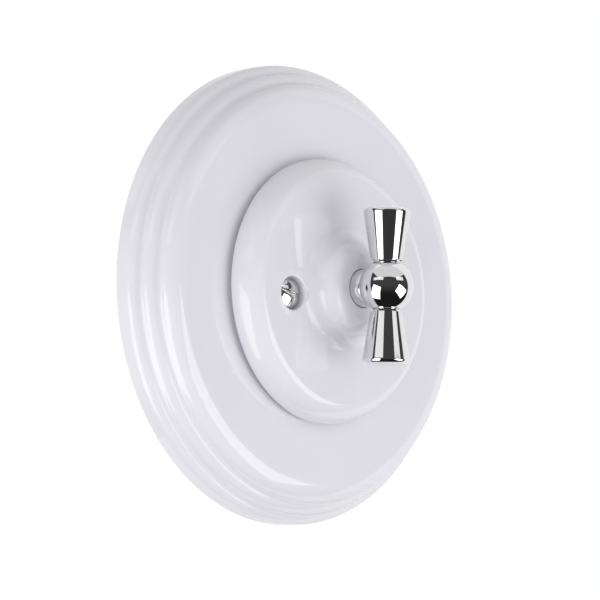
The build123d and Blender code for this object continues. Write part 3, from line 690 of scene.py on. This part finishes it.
studio = dict(
    ambient=0.78,
    surround=0.95,
    edge=0.04,  # softness of every border in the mirrored room
    darkReach=103,
    darkTilt=-6,
    darkAbove=0.055,
    darkBelow=0.012,
    darkFadeFrom=-0.6,
    darkFadeTo=0.2,
    ceiling=0.75,
    ceilingFront=40,
    ceilingTilt=-0.07,
    ceilingLeft=-1.0,
    ceilingRight=1.5,
    lamps=dict(
        leftBox=dict(across=-47.5, up=-22.7, width=528, height=796, twist=-21, distance=800, level=2.38),
        rightBox=dict(across=65.6, up=-16.1, width=410, height=558, twist=60, distance=700, level=2.29),
        leftFlap=dict(across=-37, up=31.2, width=592, height=158, twist=6.3, distance=800, level=0.9),
        rightFlap=dict(across=63.5, up=26.8, width=370, height=146, twist=-11, distance=700, level=0.9),
    ),
)


def seenFrom(across, up):
    # a direction as the object sees it when it faces the camera: degrees to the right and upwards
    across, up = radians(across), radians(up)
    return Vector((sin(across) * cos(up), sin(up), cos(across) * cos(up)))


def addLamp(name, box):
    lamp = bpy.data.lights.new(name, "AREA")
    lamp.shape = "RECTANGLE"
    lamp.size, lamp.size_y = box["width"] * mm, box["height"] * mm
    lamp.energy = box["level"] * pi * lamp.size * lamp.size_y
    holder = bpy.data.objects.new(name, lamp)
    scene.collection.objects.link(holder)
    way = seenFrom(box["across"], box["up"])
    side = Vector((way.z, 0, -way.x)).normalized()
    upright = Matrix((side, way.cross(side), way)).transposed().to_quaternion()
    holder.location = photoTurn @ way * box["distance"] * mm
    holder.rotation_mode = "QUATERNION"
    holder.rotation_quaternion = photoTurn @ upright @ Quaternion((0, 0, 1), radians(box["twist"]))
    holder.visible_camera = False


def mirroredRoom(tree, way):
    # what polished surfaces reflect beside the lamps
    def along(axis, lowest, highest, before, after):
        # a soft step across a plane through the object
        dot = addNode(tree, "ShaderNodeVectorMath",
                      {"operation": "DOT_PRODUCT", 1: photoTurn @ axis.normalized()}, {0: way})
        step = addNode(tree, "ShaderNodeMapRange",
                       {"interpolation_type": "SMOOTHSTEP", "From Min": lowest, "From Max": highest,
                        "To Min": before, "To Max": after},
                       {"Value": dot.outputs["Value"]})
        return step.outputs[0]

    edge = studio["edge"]
    reach = cos(radians(studio["darkReach"]))
    inFront = along(seenFrom(0, studio["darkTilt"]), reach - edge, reach + edge, 0.0, 1.0)
    dark = along(Vector((0, 1, 0)), studio["darkFadeFrom"], studio["darkFadeTo"], studio["darkBelow"],
                 studio["darkAbove"])
    walls = addNode(tree, "ShaderNodeMix", {"data_type": "FLOAT", 2: studio["surround"]},
                    {0: inFront, 3: dark})
    front = radians(studio["ceilingFront"])
    above = along(Vector((studio["ceilingTilt"], cos(front), -sin(front))), 0.0, edge, 0.0,
                  studio["ceiling"])
    rightOf = along(Vector((1, -studio["ceilingLeft"], 0)), 0.0, edge, 0.0, 1.0)
    leftOf = along(Vector((-1, studio["ceilingRight"], 0)), 0.0, edge, 0.0, 1.0)
    between = addNode(tree, "ShaderNodeMath", {"operation": "MULTIPLY"}, {0: rightOf, 1: leftOf})
    ceiling = addNode(tree, "ShaderNodeMath", {"operation": "MULTIPLY"},
                      {0: above, 1: between.outputs[0]})
    return addNode(tree, "ShaderNodeMath", {"operation": "MAXIMUM"},
                   {0: walls.outputs[0], 1: ceiling.outputs[0]}).outputs[0]


def softLight(tree, way):
    # light from all round that fades towards straight above and below
    across = addNode(tree, "ShaderNodeVectorMath",
                     {"operation": "CROSS_PRODUCT", 1: photoTurn @ Vector((0, 1, 0))}, {0: way})
    level = addNode(tree, "ShaderNodeVectorMath", {"operation": "LENGTH"}, {0: across.outputs["Vector"]})
    return addNode(tree, "ShaderNodeMath", {"operation": "MULTIPLY", 1: studio["ambient"]},
                   {0: level.outputs["Value"]}).outputs[0]


def lightWorld():
    world = bpy.data.worlds.new("studio")
    scene.world = world
    world.use_nodes = True
    tree = world.node_tree
    tree.nodes.clear()
    ray = addNode(tree, "ShaderNodeLightPath").outputs
    way = addNode(tree, "ShaderNodeTexCoord").outputs["Generated"]
    polished = addNode(tree, "ShaderNodeMath", {"operation": "MAXIMUM"},
                       {0: ray["Is Glossy Ray"], 1: ray["Is Transmission Ray"]})
    # what the chrome throws on to the porcelain is soft light too
    direct = addNode(tree, "ShaderNodeMath", {"operation": "LESS_THAN", 1: 0.5},
                     {0: ray["Diffuse Depth"]})
    mirrored = addNode(tree, "ShaderNodeMath", {"operation": "MULTIPLY"},
                       {0: polished.outputs[0], 1: direct.outputs[0]})
    inMirrors = addNode(tree, "ShaderNodeMix", {"data_type": "FLOAT"},
                        {0: mirrored.outputs[0], 2: softLight(tree, way), 3: mirroredRoom(tree, way)})
    # the camera itself sees plain white
    seen = addNode(tree, "ShaderNodeMix", {"data_type": "FLOAT", 3: 1.0},
                   {0: ray["Is Camera Ray"], 2: inMirrors.outputs[0]})
    light = addNode(tree, "ShaderNodeBackground", {"Color": (1, 1, 1, 1)}, {"Strength": seen.outputs[0]})
    addNode(tree, "ShaderNodeOutputWorld", {}, {"Surface": light.outputs[0]})


for name, box in studio["lamps"].items():
    addLamp(name, box)
lightWorld()


# Floor, pale and far enough below to stay out of the photograph's frame

ground = dict(
    level=-140.0,
    radius=700.0,
    fadeFrom=300.0,
    around=96,
    colour="#f4f4f5",
    roughness=0.8,
    glow=0.3,
)


def layFloor():
    bm = bmesh.new()
    bmesh.ops.create_circle(bm, cap_ends=True, segments=ground["around"], radius=ground["radius"] * mm)
    floor = makePiece(bm, "floor", Matrix.Translation((0, 0, ground["level"] * mm)))
    # matt pale board that thins out to nothing at its rim
    material, tree, shader, where = startMaterial("pale floor", {
        "Base Color": linear(ground["colour"]),
        "Roughness": ground["roughness"],
        "Emission Strength": ground["glow"],
    })
    far = addNode(tree, "ShaderNodeVectorMath", {"operation": "LENGTH"}, {0: where})
    fade = addNode(tree, "ShaderNodeMapRange",
                   {"From Min": ground["fadeFrom"] * mm, "From Max": ground["radius"] * mm,
                    "To Min": 1.0, "To Max": 0.0},
                   {"Value": far.outputs["Value"]})
    tree.links.new(fade.outputs[0], shader.inputs["Alpha"])
    floor.data.materials.append(material)
    # only the camera sees it, so it adds no light of its own to the object
    floor.visible_diffuse = False
    floor.visible_glossy = False
    floor.visible_shadow = False


layFloor()
print("studio lit")
